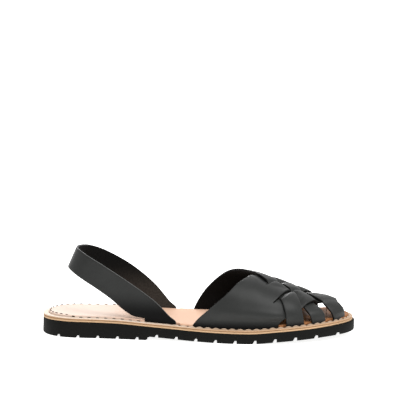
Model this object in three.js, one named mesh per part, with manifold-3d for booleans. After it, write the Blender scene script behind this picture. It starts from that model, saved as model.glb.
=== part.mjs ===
// Flat leather sandal: a woven vamp and a slingback strap on a stacked leather and rubber sole.
// Millimetres. +X points to the toe, +Y to the inner side of the foot, +Z up. A right shoe.
import * as THREE from 'three';
import { mergeVertices } from 'three/addons/utils/BufferGeometryUtils.js';
import Module from 'manifold-3d';

const wasm = await Module();
wasm.setup();

// Outline and side view of the sole
const SOLE_LENGTH = 250;
const BALL_WIDTH = 91;
const HEEL_WIDTH = 57;
const HEEL_ROUND = 30;
const TOE_ROUND = 58;
const ROUND_POWER = 2.1;
const HEEL_SEAT = 12.8;
const TREAD = 8;
const TOE_SPRING = 4.4;
const HEEL_LENGTH = 84;
const BREAST_SLANT = 1.6;
const TREAD_EDGE = 0.9;

// Layers between the rubber and the foot
const CLEARANCE = 0.3;
const MIDSOLE = 1.4;
const WELT = 1.4;
const WELT_WIDTH = 4.4;
const INSOLE = 2.8;

// Grooves of the tread
const LUG_PITCH = 16;
const FIRST_GROOVE = 13.5;
const GROOVE_WIDTH = 2.4;
const GROOVE_DEPTH = 1.5;
const GROOVE_SLANT = 5;
const SPINE_WIDTH = 8;

// Upper
const WALL = 2;
const INSTEP = 42;
const SIDE_FULLNESS = 2.35;
const TOE_LEAN = 1.5;
const WEAVE_RISE = 0.8;
const SLIT = 0.5;
const STRAP_WALL = 2;
const STRAP_TOP = 54;
const STRAP_BOW = 5.3;
const FOOT_BLEND = 0.22;

// Steps of the meshes
const SOLE_STEPS = 46;
const FINGER_STEPS = 36;
const FINGER_COLUMNS = 4;
const STRAP_STEPS = 60;
const STRAP_COLUMNS = 3;

// Half widths of the sole, from the heel's half width (0) to the ball's half width (1).
const PLAN = [
  { along: 0.00, outer: 0.00, inner: 0.00, bend: 0.000 },
  { along: 0.12, outer: 0.00, inner: 0.00, bend: 0.000 },
  { along: 0.22, outer: 0.12, inner: 0.05, bend: 0.000 },
  { along: 0.32, outer: 0.32, inner: 0.14, bend: 0.000 },
  { along: 0.40, outer: 0.50, inner: 0.22, bend: 0.000 },
  { along: 0.48, outer: 0.70, inner: 0.37, bend: 0.000 },
  { along: 0.56, outer: 0.88, inner: 0.59, bend: 0.000 },
  { along: 0.64, outer: 1.00, inner: 0.81, bend: 0.000 },
  { along: 0.71, outer: 1.00, inner: 0.94, bend: 0.000 },
  { along: 0.79, outer: 0.88, inner: 0.91, bend: 0.000 },
  { along: 0.86, outer: 0.72, inner: 0.78, bend: 0.006 },
  { along: 0.93, outer: 0.53, inner: 0.59, bend: 0.017 },
  { along: 1.00, outer: 0.34, inner: 0.41, bend: 0.028 },
];

// Top of the rubber: shares of the heel's extra height and of the toe spring.
const PROFILE = [
  { along: 0.00, heel: 0.89, spring: 0.00 },
  { along: 0.05, heel: 1.00, spring: 0.00 },
  { along: 0.12, heel: 1.00, spring: 0.00 },
  { along: 0.18, heel: 0.97, spring: 0.00 },
  { along: 0.24, heel: 0.92, spring: 0.00 },
  { along: 0.28, heel: 0.81, spring: 0.00 },
  { along: 0.32, heel: 0.67, spring: 0.00 },
  { along: 0.36, heel: 0.54, spring: 0.00 },
  { along: 0.40, heel: 0.43, spring: 0.00 },
  { along: 0.44, heel: 0.30, spring: 0.00 },
  { along: 0.48, heel: 0.18, spring: 0.00 },
  { along: 0.52, heel: 0.09, spring: 0.00 },
  { along: 0.56, heel: 0.03, spring: 0.00 },
  { along: 0.60, heel: 0.00, spring: 0.00 },
  { along: 0.66, heel: 0.00, spring: 0.00 },
  { along: 0.70, heel: 0.00, spring: 0.12 },
  { along: 0.74, heel: 0.00, spring: 0.31 },
  { along: 0.79, heel: 0.00, spring: 0.53 },
  { along: 0.84, heel: 0.00, spring: 0.70 },
  { along: 0.88, heel: 0.00, spring: 0.82 },
  { along: 0.93, heel: 0.00, spring: 0.91 },
  { along: 1.00, heel: 0.00, spring: 1.00 },
];

// Ridge of the vamp: its rise as a share of the instep, its shift inwards of the ball width.
const RIDGE = [
  { along: 0.44, rise: 1.16, shift: 0.044 },
  { along: 0.56, rise: 0.99, shift: 0.044 },
  { along: 0.64, rise: 0.89, shift: 0.038 },
  { along: 0.68, rise: 0.83, shift: 0.035 },
  { along: 0.72, rise: 0.71, shift: 0.033 },
  { along: 0.76, rise: 0.60, shift: 0.033 },
  { along: 0.80, rise: 0.50, shift: 0.033 },
  { along: 0.84, rise: 0.39, shift: 0.033 },
  { along: 0.88, rise: 0.31, shift: 0.033 },
  { along: 0.92, rise: 0.28, shift: 0.036 },
  { along: 0.96, rise: 0.22, shift: 0.038 },
];

// Three fingers of a wing, from its foot (run 0) over the ridge (0.5) to the other side (1).
// Back and front edges are shares of the sole's length; the inner wing starts further back.
const FINGERS = [
  { run: 0.0, outer1: 0.482, inner1: 0.484, front1: 0.584, back2: 0.584, front2: 0.680, back3: 0.680, front3: 0.754 },
  { run: 0.1, outer1: 0.544, inner1: 0.520, front1: 0.628, back2: 0.628, front2: 0.714, back3: 0.714, front3: 0.796 },
  { run: 0.2, outer1: 0.590, inner1: 0.558, front1: 0.664, back2: 0.664, front2: 0.740, back3: 0.740, front3: 0.829 },
  { run: 0.3, outer1: 0.621, inner1: 0.593, front1: 0.692, back2: 0.692, front2: 0.764, back3: 0.764, front3: 0.855 },
  { run: 0.4, outer1: 0.653, inner1: 0.632, front1: 0.718, back2: 0.718, front2: 0.789, back3: 0.789, front3: 0.884 },
  { run: 0.5, outer1: 0.680, inner1: 0.680, front1: 0.756, back2: 0.756, front2: 0.828, back3: 0.838, front3: 0.936 },
  { run: 0.6, outer1: 0.730, inner1: 0.730, front1: 0.802, back2: 0.806, front2: 0.864, back3: 0.889, front3: 0.949 },
  { run: 0.7, outer1: 0.754, inner1: 0.754, front1: 0.818, back2: 0.828, front2: 0.880, back3: 0.903, front3: 0.958 },
  { run: 0.8, outer1: 0.767, inner1: 0.767, front1: 0.827, back2: 0.843, front2: 0.894, back3: 0.915, front3: 0.964 },
  { run: 0.9, outer1: 0.777, inner1: 0.777, front1: 0.834, back2: 0.854, front2: 0.903, back3: 0.925, front3: 0.966 },
  { run: 1.0, outer1: 0.781, inner1: 0.781, front1: 0.838, back2: 0.861, front2: 0.907, back3: 0.931, front3: 0.966 },
];
const SLIT_ROOTS = [0.39, 0.2];

// Slingback strap from its foot (turn 0) to the middle of the heel (0.5) and just past it: both
// edges in side view as shares of sole length and strap height, and their distances from the
// middle as shares of the heel width.
const STRAP = [
  { turn: 0.00, lowX: 0.328, lowZ: 0.000, lowY: 0.503, highX: 0.427, highZ: 0.000, highY: 0.549 },
  { turn: 0.03, lowX: 0.324, lowZ: 0.020, lowY: 0.500, highX: 0.424, highZ: 0.025, highY: 0.547 },
  { turn: 0.08, lowX: 0.292, lowZ: 0.034, lowY: 0.490, highX: 0.406, highZ: 0.072, highY: 0.541 },
  { turn: 0.14, lowX: 0.271, lowZ: 0.078, lowY: 0.478, highX: 0.385, highZ: 0.152, highY: 0.532 },
  { turn: 0.20, lowX: 0.249, lowZ: 0.150, lowY: 0.463, highX: 0.357, highZ: 0.265, highY: 0.522 },
  { turn: 0.28, lowX: 0.216, lowZ: 0.275, lowY: 0.438, highX: 0.312, highZ: 0.416, highY: 0.500 },
  { turn: 0.36, lowX: 0.170, lowZ: 0.415, lowY: 0.388, highX: 0.252, highZ: 0.597, highY: 0.458 },
  { turn: 0.42, lowX: 0.127, lowZ: 0.530, lowY: 0.315, highX: 0.183, highZ: 0.788, highY: 0.385 },
  { turn: 0.46, lowX: 0.097, lowZ: 0.610, lowY: 0.210, highX: 0.137, highZ: 0.896, highY: 0.270 },
  { turn: 0.50, lowX: 0.080, lowZ: 0.654, lowY: 0, highX: 0.107, highZ: 0.955, highY: 0 },
  { turn: 0.54, lowX: 0.097, lowZ: 0.610, lowY: -0.210, highX: 0.137, highZ: 0.896, highY: -0.270 },
];

const MATERIALS = {
  rubber: new THREE.MeshStandardMaterial({ color: 0x1d1d1f, roughness: 0.75, metalness: 0 }),
  midsole: new THREE.MeshStandardMaterial({ color: 0xc9a583, roughness: 0.7, metalness: 0 }),
  welt: new THREE.MeshStandardMaterial({ color: 0xa37d5c, roughness: 0.6, metalness: 0 }),
  insole: new THREE.MeshStandardMaterial({ color: 0xdcb79f, roughness: 0.65, metalness: 0 }),
  upper: new THREE.MeshStandardMaterial({ color: 0x2f2e30, roughness: 0.5, metalness: 0 }),
};

// A smooth curve through one column of a table, at a place along another column.
function read(table, place, column, at) {
  const last = table.length - 2;
  const found = table.findIndex((row) => row[place] > at) - 1;
  const i = found < -1 ? last : Math.min(Math.max(found, 0), last);
  const slope = (k) => {
    const a = table[Math.max(k - 1, 0)];
    const b = table[Math.min(k + 1, table.length - 1)];
    return (b[column] - a[column]) / (b[place] - a[place]);
  };
  const span = table[i + 1][place] - table[i][place];
  const t = Math.min(Math.max((at - table[i][place]) / span, 0), 1);
  const u = 1 - t;
  const ends = (1 + 2 * t) * u * u * table[i][column] + t * t * (3 - 2 * t) * table[i + 1][column];
  return ends + t * u * span * (u * slope(i) - t * slope(i + 1));
}

// Shortens the half widths to a round end at the heel and at the toe.
function rounding(x) {
  const round = (gap, length) => {
    const share = Math.min(Math.max(gap / length, 0), 1);
    return Math.pow(1 - Math.pow(share, ROUND_POWER), 1 / ROUND_POWER);
  };
  return round(HEEL_ROUND - x, HEEL_ROUND) * round(x - SOLE_LENGTH + TOE_ROUND, TOE_ROUND);
}

function edgeOf(x, side) {
  const share = read(PLAN, 'along', side < 0 ? 'outer' : 'inner', x / SOLE_LENGTH);
  const half = (HEEL_WIDTH + (BALL_WIDTH - HEEL_WIDTH) * share) / 2;
  const bend = BALL_WIDTH * read(PLAN, 'along', 'bend', x / SOLE_LENGTH);
  return bend + side * half * rounding(x);
}

// Stations from heel to toe, closer at the round ends, with two at the heel's breast.
function stations() {
  const list = [];
  for (let i = 0; i <= SOLE_STEPS; i += 1) {
    list.push((SOLE_LENGTH / 2) * (1 - Math.cos((Math.PI * i) / SOLE_STEPS)));
  }
  const breast = [HEEL_LENGTH, HEEL_LENGTH + BREAST_SLANT];
  const clear = list.filter((x) => x < breast[0] - BREAST_SLANT || x > breast[1] + BREAST_SLANT);
  return clear.concat(breast).sort((a, b) => a - b);
}

const STATIONS = stations();

// The outline moved inwards: heel tip, outer side, toe tip, inner side.
function ring(inset) {
  const outer = STATIONS.map((x) => new THREE.Vector2(x, edgeOf(x, -1)));
  const inner = STATIONS.slice(1, -1).reverse().map((x) => new THREE.Vector2(x, edgeOf(x, 1)));
  const points = outer.concat(inner);
  return points.map((point, i) => {
    const next = points[(i + 1) % points.length];
    const last = points[(i + points.length - 1) % points.length];
    const along = next.clone().sub(last).normalize();
    return point.clone().add(new THREE.Vector2(-along.y, along.x).multiplyScalar(inset));
  });
}

// Where a line inset from the outline crosses a station, on one side.
function insetLine(inset) {
  const points = ring(inset);
  const count = STATIONS.length;
  const outer = points.slice(0, count);
  const inner = [points[0], ...points.slice(count).reverse(), points[count - 1]];
  return (x, side) => {
    const line = side < 0 ? outer : inner;
    const at = line.findIndex((point) => point.x > x);
    const i = at < 0 ? line.length - 1 : Math.max(at, 1);
    const share = Math.min(Math.max((x - line[i - 1].x) / (line[i].x - line[i - 1].x), 0), 1);
    return line[i - 1].y + share * (line[i].y - line[i - 1].y);
  };
}

// Heights of the layers
function rubberTop(x) {
  const heel = read(PROFILE, 'along', 'heel', x / SOLE_LENGTH);
  const spring = read(PROFILE, 'along', 'spring', x / SOLE_LENGTH);
  return TREAD + heel * (HEEL_SEAT - TREAD) + spring * TOE_SPRING;
}

function rubberBottom(x) {
  return x <= HEEL_LENGTH ? 0 : Math.max(0, rubberTop(x) - TREAD);
}

const midsoleBottom = (x) => rubberTop(x) + CLEARANCE;
const seat = (x) => midsoleBottom(x) + MIDSOLE + CLEARANCE;
const weltTop = (x) => seat(x) + WELT;
const insoleTop = (x) => seat(x) + INSOLE;

function geometryOf(points, faces) {
  const geometry = new THREE.BufferGeometry();
  const places = points.flatMap((point) => [point.x, point.y, point.z]);
  geometry.setAttribute('position', new THREE.Float32BufferAttribute(places, 3));
  geometry.setIndex(faces);
  return geometry;
}

function solidOf(geometry) {
  const bare = geometry.clone();
  bare.deleteAttribute('normal');
  bare.deleteAttribute('uv');
  const merged = mergeVertices(bare, 1e-5);
  const vertProperties = new Float32Array(merged.getAttribute('position').array);
  const triVerts = new Uint32Array(merged.getIndex().array);
  return new wasm.Manifold(new wasm.Mesh({ numProp: 3, vertProperties, triVerts }));
}

function meshOf(name, solid, material) {
  const made = solid.getMesh();
  const geometry = new THREE.BufferGeometry();
  geometry.setAttribute('position', new THREE.BufferAttribute(new Float32Array(made.vertProperties), 3));
  geometry.setIndex(Array.from(made.triVerts));
  geometry.computeVertexNormals();
  const mesh = new THREE.Mesh(geometry, material);
  mesh.name = name;
  return mesh;
}

// A layer of the sole from rings stacked upwards, each with an inset and a height.
function layer(levels) {
  const count = STATIONS.length;
  const around = 2 * count - 2;
  const points = [];
  levels.forEach(({ inset, height }) => {
    ring(inset).forEach((point, i) => {
      const station = STATIONS[i < count ? i : around - i];
      points.push(new THREE.Vector3(point.x, point.y, height(point.x, station)));
    });
  });
  const faces = [];
  for (let level = 0; level + 1 < levels.length; level += 1) {
    for (let i = 0; i < around; i += 1) {
      const a = level * around + i;
      const b = level * around + ((i + 1) % around);
      faces.push(a, b, b + around, a, b + around, a + around);
    }
  }
  const top = (levels.length - 1) * around;
  for (let i = 0; i + 1 < count; i += 1) {
    const [a, b] = [i, i + 1];
    const [c, d] = [(around - i - 1) % around, (around - i) % around];
    faces.push(a, c, b, top + a, top + b, top + c);
    if (i > 0) faces.push(a, d, c, top + a, top + c, top + d);
  }
  return solidOf(geometryOf(points, faces));
}

function plate(inset, bottom, top) {
  return layer([{ inset, height: (x) => bottom(x) }, { inset, height: (x) => top(x) }]);
}

// Chevron grooves across the tread, from the spine to both edges.
function grooves() {
  const half = BALL_WIDTH / 2;
  let cut = null;
  for (let x = FIRST_GROOVE; x < SOLE_LENGTH - GROOVE_SLANT; x += LUG_PITCH) {
    [-1, 1].forEach((side) => {
      const shape = new THREE.Shape([
        new THREE.Vector2(x, (side * SPINE_WIDTH) / 2),
        new THREE.Vector2(x + GROOVE_WIDTH, (side * SPINE_WIDTH) / 2),
        new THREE.Vector2(x + GROOVE_WIDTH - GROOVE_SLANT, side * half),
        new THREE.Vector2(x - GROOVE_SLANT, side * half),
      ]);
      const depth = 2 * GROOVE_DEPTH;
      const bar = new THREE.ExtrudeGeometry(shape, { depth, bevelEnabled: false });
      const centre = rubberBottom(x) + GROOVE_DEPTH - depth;
      const solid = solidOf(bar.translate(0, 0, centre));
      cut = cut ? cut.add(solid) : solid;
    });
  }
  return cut;
}

function outsole() {
  const body = layer([
    { inset: TREAD_EDGE, height: (x, station) => rubberBottom(station) },
    { inset: 0, height: (x, station) => rubberBottom(station) + TREAD_EDGE },
    { inset: 0, height: (x) => rubberTop(x) },
  ]);
  return body.subtract(grooves());
}

function midsole() {
  return plate(0, midsoleBottom, (x) => midsoleBottom(x) + MIDSOLE);
}

function welt() {
  const outer = plate(0, seat, weltTop);
  const hole = plate(WELT_WIDTH, (x) => seat(x) - WELT, (x) => weltTop(x) + WELT);
  return outer.subtract(hole);
}

// The insole is notched along the outline wherever the upper goes down beside it.
function insole() {
  const notchDepth = WELT_WIDTH + 2 * CLEARANCE + WALL;
  const body = plate(WELT_WIDTH + CLEARANCE, seat, insoleTop);
  const core = plate(notchDepth, (x) => seat(x) - INSOLE, (x) => insoleTop(x) + INSOLE);
  const margin = CLEARANCE + WALL / 2;
  const height = 2 * (insoleTop(0) + insoleTop(SOLE_LENGTH));
  let notches = null;
  landings().forEach(({ from, to, side }) => {
    const box = new THREE.BoxGeometry(to - from + 2 * margin, BALL_WIDTH, height);
    const solid = solidOf(box.translate((from + to) / 2, (side * BALL_WIDTH) / 2, 0));
    notches = notches ? notches.add(solid) : solid;
  });
  return body.subtract(notches.subtract(core));
}

// Stretches of the outline, on each side, where the strap and the vamp go down.
function landings() {
  const list = [];
  [-1, 1].forEach((side) => {
    const foot = STRAP[0];
    const wing = FINGERS[0];
    const tip = FINGERS[FINGERS.length - 1];
    list.push({ from: foot.lowX, to: foot.highX, side });
    list.push({ from: side < 0 ? wing.outer1 : wing.inner1, to: wing.front3, side });
    list.push({ from: tip.outer1, to: tip.front1, side });
    list.push({ from: tip.back2, to: tip.front2, side });
    list.push({ from: tip.back3, to: tip.front3, side });
  });
  return list.map(({ from, to, side }) => ({ from: from * SOLE_LENGTH, to: to * SOLE_LENGTH, side }));
}

const footLine = insetLine(WELT_WIDTH + CLEARANCE + WALL / 2);

// The last under the vamp: across runs from -1 at the outer foot line over 0 at the ridge to 1.
function lastPoint(x, across) {
  const side = across < 0 ? -1 : 1;
  const angle = (1 - Math.min(Math.abs(across), 1)) * (Math.PI / 2);
  const wide = Math.pow(Math.max(Math.cos(angle), 0), 2 / SIDE_FULLNESS);
  const high = Math.pow(Math.sin(angle), 2 / SIDE_FULLNESS);
  const ridgeY = BALL_WIDTH * read(RIDGE, 'along', 'shift', x / SOLE_LENGTH);
  const rise = INSTEP * read(RIDGE, 'along', 'rise', x / SOLE_LENGTH);
  const y = ridgeY + (footLine(x, side) - ridgeY) * wide;
  const lean = TOE_LEAN * Math.pow(x / SOLE_LENGTH, 12);
  return new THREE.Vector3(x - lean * high, y, insoleTop(x) + rise * high);
}

function lastNormal(x, across) {
  const step = 0.01;
  const inside = Math.min(Math.max(across, step - 1), 1 - step);
  const alongX = lastPoint(x + step, inside).sub(lastPoint(x - step, inside));
  const around = lastPoint(x, inside + step).sub(lastPoint(x, inside - step));
  return alongX.cross(around).normalize();
}

// Edges of a wing's fingers at a run, as places along the sole.
function fingerEdges(wing, run) {
  const back = wing < 0 ? 'outer1' : 'inner1';
  const names = [[back, 'front1'], ['back2', 'front2'], ['back3', 'front3']];
  return names.map((pair) => pair.map((name) => SOLE_LENGTH * read(FINGERS, 'run', name, run)));
}

const runOf = (wing, across) => (1 - wing * across) / 2;

// Which finger of the other wing lies here: 1, 2 or 3 at its middle, halves at its edges.
function fingerAt(wing, x, across) {
  const edges = fingerEdges(wing, Math.min(Math.max(runOf(wing, across), 0), 1));
  const joints = [edges[0][0], (edges[0][1] + edges[1][0]) / 2, (edges[1][1] + edges[2][0]) / 2, edges[2][1]];
  const i = x < joints[1] ? 0 : x < joints[2] ? 1 : 2;
  return i + 0.5 + (x - joints[i]) / (joints[i + 1] - joints[i]);
}

// Rise over the last: inner fingers pass over where the two numbers add up to an even one.
function weave(wing, finger, x, across) {
  const other = fingerAt(-wing, x, across);
  if (other <= 0.5 || other >= 3.5) return 0;
  const wave = Math.tanh(2.5 * Math.cos(Math.PI * (other + finger))) / Math.tanh(2.5);
  return wing * WEAVE_RISE * wave;
}

// A closed wall from rows of points, each with an upper and a lower face.
function wall(rows) {
  const columns = rows[0].length;
  const points = rows.flat().map((pair) => pair.outside).concat(rows.flat().map((pair) => pair.inside));
  const under = rows.length * columns;
  const faces = [];
  const quad = (a, b, c, d) => faces.push(a, b, c, a, c, d);
  for (let r = 0; r + 1 < rows.length; r += 1) {
    for (let c = 0; c + 1 < columns; c += 1) {
      const a = r * columns + c;
      quad(a, a + 1, a + columns + 1, a + columns);
      quad(under + a, under + a + columns, under + a + columns + 1, under + a + 1);
    }
    const first = r * columns;
    const last = first + columns - 1;
    quad(first, first + columns, under + first + columns, under + first);
    quad(last, under + last, under + last + columns, last + columns);
  }
  for (let c = 0; c + 1 < columns; c += 1) {
    const end = (rows.length - 1) * columns + c;
    quad(c, under + c, under + c + 1, c + 1);
    quad(end, end + 1, under + end + 1, under + end);
  }
  const solid = solidOf(geometryOf(points, faces));
  return solid.volume() > 0 ? solid : solidOf(geometryOf(points, faces.reverse()));
}

function finger(wing, number) {
  const rows = [];
  for (let k = 0; k <= FINGER_STEPS; k += 1) {
    const run = k / FINGER_STEPS;
    const across = wing * (1 - 2 * run);
    const edges = fingerEdges(wing, run);
    const [back, front] = edges[number - 1];
    const openBack = number > 1 && run > SLIT_ROOTS[number - 2] ? SLIT / 2 : 0;
    const openFront = number < 3 && run > SLIT_ROOTS[number - 1] ? SLIT / 2 : 0;
    const row = [];
    for (let c = 0; c <= FINGER_COLUMNS; c += 1) {
      const share = c / FINGER_COLUMNS;
      const x = back + openBack + share * (front - openFront - back - openBack);
      const point = lastPoint(x, across);
      const normal = lastNormal(x, across);
      const rise = weave(wing, number, x, across);
      const outside = point.clone().addScaledVector(normal, rise + WALL / 2);
      const inside = point.clone().addScaledVector(normal, rise - WALL / 2);
      row.push({ outside, inside });
    }
    rows.push(row);
  }
  return wall(footed(rows));
}

// Both ends go straight down into the slot beside the insole.
function footed(rows) {
  const drop = (row) => row.map(({ outside, inside }) => {
    const foot = seat((outside.x + inside.x) / 2);
    const lower = (point) => new THREE.Vector3(point.x, point.y, foot);
    return { outside: lower(outside), inside: lower(inside) };
  });
  return [drop(rows[0]), ...rows, drop(rows[rows.length - 1])];
}

function vamp() {
  let solid = null;
  [-1, 1].forEach((wing) => {
    [1, 2, 3].forEach((number) => {
      const made = finger(wing, number);
      solid = solid ? solid.add(made) : made;
    });
  });
  return solid;
}

// A point of the strap: turn from the outer foot (0) round the heel to the inner foot (1).
function strapPoint(turn, share) {
  const side = turn < 0.5 ? -1 : 1;
  const half = Math.min(turn, 1 - turn);
  const value = (name) => read(STRAP, 'turn', name, half);
  const bow = side < 0 ? 0 : STRAP_BOW * Math.sin(Math.PI * Math.pow(2 * half, 2));
  const x = SOLE_LENGTH * (value('lowX') + share * (value('highX') - value('lowX')));
  const z = insoleTop(0) + STRAP_TOP * (value('lowZ') + share * (value('highZ') - value('lowZ')));
  const y = side * HEEL_WIDTH * (value('lowY') + share * (value('highY') - value('lowY')));
  const foot = Math.max(0, 1 - half / FOOT_BLEND);
  const ease = foot * foot * (3 - 2 * foot);
  const settle = insoleTop(x) - insoleTop(0);
  return new THREE.Vector3(x, y + ease * (footLine(x, side) - y), z + ease * settle + bow);
}

function heelStrap() {
  const step = 0.004;
  const rows = [];
  for (let k = 0; k <= STRAP_STEPS; k += 1) {
    const turn = k / STRAP_STEPS;
    const row = [];
    for (let c = 0; c <= STRAP_COLUMNS; c += 1) {
      const share = c / STRAP_COLUMNS;
      const before = strapPoint(Math.max(turn - step, 0), share);
      const after = strapPoint(Math.min(turn + step, 1), share);
      const upright = strapPoint(turn, 1).sub(strapPoint(turn, 0));
      const normal = after.sub(before).cross(upright).normalize();
      const point = strapPoint(turn, share);
      const outside = point.clone().addScaledVector(normal, STRAP_WALL / 2);
      const inside = point.clone().addScaledVector(normal, -STRAP_WALL / 2);
      row.push({ outside, inside });
    }
    rows.push(row);
  }
  return wall(footed(rows));
}

const sandal = new THREE.Group();
sandal.add(meshOf('outsole', outsole(), MATERIALS.rubber));
sandal.add(meshOf('midsole', midsole(), MATERIALS.midsole));
sandal.add(meshOf('welt', welt(), MATERIALS.welt));
sandal.add(meshOf('insole', insole(), MATERIALS.insole));
sandal.add(meshOf('vamp', vamp(), MATERIALS.upper));
sandal.add(meshOf('heel_strap', heelStrap(), MATERIALS.upper));
const widths = ring(0).map((point) => point.y);
sandal.position.set(-SOLE_LENGTH / 2, -(Math.min(...widths) + Math.max(...widths)) / 2, 0);

export default sandal;
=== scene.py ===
"""Looks of a flat leather sandal with a woven vamp and a slingback strap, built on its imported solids."""
import math

import bpy
from mathutils import Matrix, Vector


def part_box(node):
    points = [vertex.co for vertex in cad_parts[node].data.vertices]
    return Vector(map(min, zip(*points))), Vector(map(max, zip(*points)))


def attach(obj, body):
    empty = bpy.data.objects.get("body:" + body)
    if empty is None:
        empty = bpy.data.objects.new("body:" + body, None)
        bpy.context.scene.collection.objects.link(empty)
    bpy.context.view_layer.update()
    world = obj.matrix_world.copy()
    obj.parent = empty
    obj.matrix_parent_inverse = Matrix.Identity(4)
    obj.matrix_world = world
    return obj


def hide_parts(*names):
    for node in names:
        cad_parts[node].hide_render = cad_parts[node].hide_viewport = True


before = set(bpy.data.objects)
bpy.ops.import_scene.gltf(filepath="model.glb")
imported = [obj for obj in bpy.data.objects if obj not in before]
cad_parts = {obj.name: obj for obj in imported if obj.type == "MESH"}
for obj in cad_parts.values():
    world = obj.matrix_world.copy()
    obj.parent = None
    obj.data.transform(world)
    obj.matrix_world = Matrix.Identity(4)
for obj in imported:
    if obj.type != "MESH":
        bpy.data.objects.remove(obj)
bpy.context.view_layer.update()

bl_info = {
    "name": "Woven slingback sandal",
    "version": (1, 0, 0),
    "blender": (4, 5, 0),
    "location": "3D View > Sidebar > Sandal",
    "description": "Builds the leather, rubber and stitching of a flat woven sandal round its solids",
    "category": "Object",
}

MM = 0.001
MERGED = 0.002 * MM
ROOT = "root"
SOLE_LOW, SOLE_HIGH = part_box("outsole")

# Half widths of the sole, from the heel's half width (0) to the ball's (1), at shares of its length.
PLAN = (
    ("along", "outer", "inner", "bend"),
    (0.00, 0.00, 0.00, 0.000),
    (0.12, 0.00, 0.00, 0.000),
    (0.22, 0.12, 0.05, 0.000),
    (0.32, 0.32, 0.14, 0.000),
    (0.40, 0.50, 0.22, 0.000),
    (0.48, 0.70, 0.37, 0.000),
    (0.56, 0.88, 0.59, 0.000),
    (0.64, 1.00, 0.81, 0.000),
    (0.71, 1.00, 0.94, 0.000),
    (0.79, 0.88, 0.91, 0.000),
    (0.86, 0.72, 0.78, 0.006),
    (0.93, 0.53, 0.59, 0.017),
    (1.00, 0.34, 0.41, 0.028),
)

# Top of the rubber: shares of the heel's extra height and of the toe spring.
PROFILE = (
    ("along", "heel", "spring"),
    (0.00, 0.89, 0.00),
    (0.05, 1.00, 0.00),
    (0.12, 1.00, 0.00),
    (0.18, 0.97, 0.00),
    (0.24, 0.92, 0.00),
    (0.28, 0.81, 0.00),
    (0.32, 0.67, 0.00),
    (0.36, 0.54, 0.00),
    (0.40, 0.43, 0.00),
    (0.44, 0.30, 0.00),
    (0.48, 0.18, 0.00),
    (0.52, 0.09, 0.00),
    (0.56, 0.03, 0.00),
    (0.60, 0.00, 0.00),
    (0.66, 0.00, 0.00),
    (0.70, 0.00, 0.12),
    (0.74, 0.00, 0.31),
    (0.79, 0.00, 0.53),
    (0.84, 0.00, 0.70),
    (0.88, 0.00, 0.82),
    (0.93, 0.00, 0.91),
    (1.00, 0.00, 1.00),
)

# Ridge of the vamp: rise as a share of the instep, shift inwards as a share of the ball width.
RIDGE = (
    ("along", "rise", "shift"),
    (0.44, 1.16, 0.044),
    (0.56, 0.99, 0.044),
    (0.64, 0.89, 0.038),
    (0.68, 0.83, 0.035),
    (0.72, 0.71, 0.033),
    (0.76, 0.60, 0.033),
    (0.80, 0.50, 0.033),
    (0.84, 0.39, 0.033),
    (0.88, 0.31, 0.033),
    (0.92, 0.28, 0.036),
    (0.96, 0.22, 0.038),
)

# Edges of a wing's three fingers, from its foot (run 0) over the ridge (0.5) to the other side (1).
FINGERS = (
    ("run", "outer1", "inner1", "front1", "back2", "front2", "back3", "front3"),
    (0.0, 0.482, 0.484, 0.584, 0.584, 0.680, 0.680, 0.754),
    (0.1, 0.544, 0.520, 0.628, 0.628, 0.714, 0.714, 0.796),
    (0.2, 0.590, 0.558, 0.664, 0.664, 0.740, 0.740, 0.829),
    (0.3, 0.621, 0.593, 0.692, 0.692, 0.764, 0.764, 0.855),
    (0.4, 0.653, 0.632, 0.718, 0.718, 0.789, 0.789, 0.884),
    (0.5, 0.680, 0.680, 0.756, 0.756, 0.828, 0.838, 0.936),
    (0.6, 0.730, 0.730, 0.802, 0.806, 0.864, 0.889, 0.949),
    (0.7, 0.754, 0.754, 0.818, 0.828, 0.880, 0.903, 0.958),
    (0.8, 0.767, 0.767, 0.827, 0.843, 0.894, 0.915, 0.964),
    (0.9, 0.777, 0.777, 0.834, 0.854, 0.903, 0.925, 0.966),
    (1.0, 0.781, 0.781, 0.838, 0.861, 0.907, 0.931, 0.966),
)
SLIT_ROOTS = (0.39, 0.20)

# Slingback strap from its foot (turn 0) to the middle of the heel (0.5) and just past it.
STRAP = (
    ("turn", "low_x", "low_z", "low_y", "high_x", "high_z", "high_y"),
    (0.00, 0.328, 0.000, 0.503, 0.427, 0.000, 0.549),
    (0.03, 0.324, 0.020, 0.500, 0.424, 0.025, 0.547),
    (0.08, 0.292, 0.034, 0.490, 0.406, 0.072, 0.541),
    (0.14, 0.271, 0.078, 0.478, 0.385, 0.152, 0.532),
    (0.20, 0.249, 0.150, 0.463, 0.357, 0.265, 0.522),
    (0.28, 0.216, 0.275, 0.438, 0.312, 0.416, 0.500),
    (0.36, 0.170, 0.415, 0.388, 0.252, 0.597, 0.458),
    (0.42, 0.127, 0.530, 0.315, 0.183, 0.788, 0.385),
    (0.46, 0.097, 0.610, 0.210, 0.137, 0.896, 0.270),
    (0.50, 0.080, 0.654, 0.000, 0.107, 0.955, 0.000),
    (0.54, 0.097, 0.610, -0.210, 0.137, 0.896, -0.270),
)


def linear(code):
    """An sRGB hex colour as linear red, green and blue."""
    values = [int(code[i:i + 2], 16) / 255 for i in (0, 2, 4)]
    return tuple(v / 12.92 if v <= 0.04045 else ((v + 0.055) / 1.055) ** 2.4 for v in values)


def length(name, description, millimetres):
    return bpy.props.FloatProperty(
        name=name, description=description, default=millimetres * MM, min=0.0, unit="LENGTH", precision=4)


def colour(name, description, code):
    return bpy.props.FloatVectorProperty(
        name=name, description=description, default=linear(code), subtype="COLOR", size=3, min=0.0, max=1.0)


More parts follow.
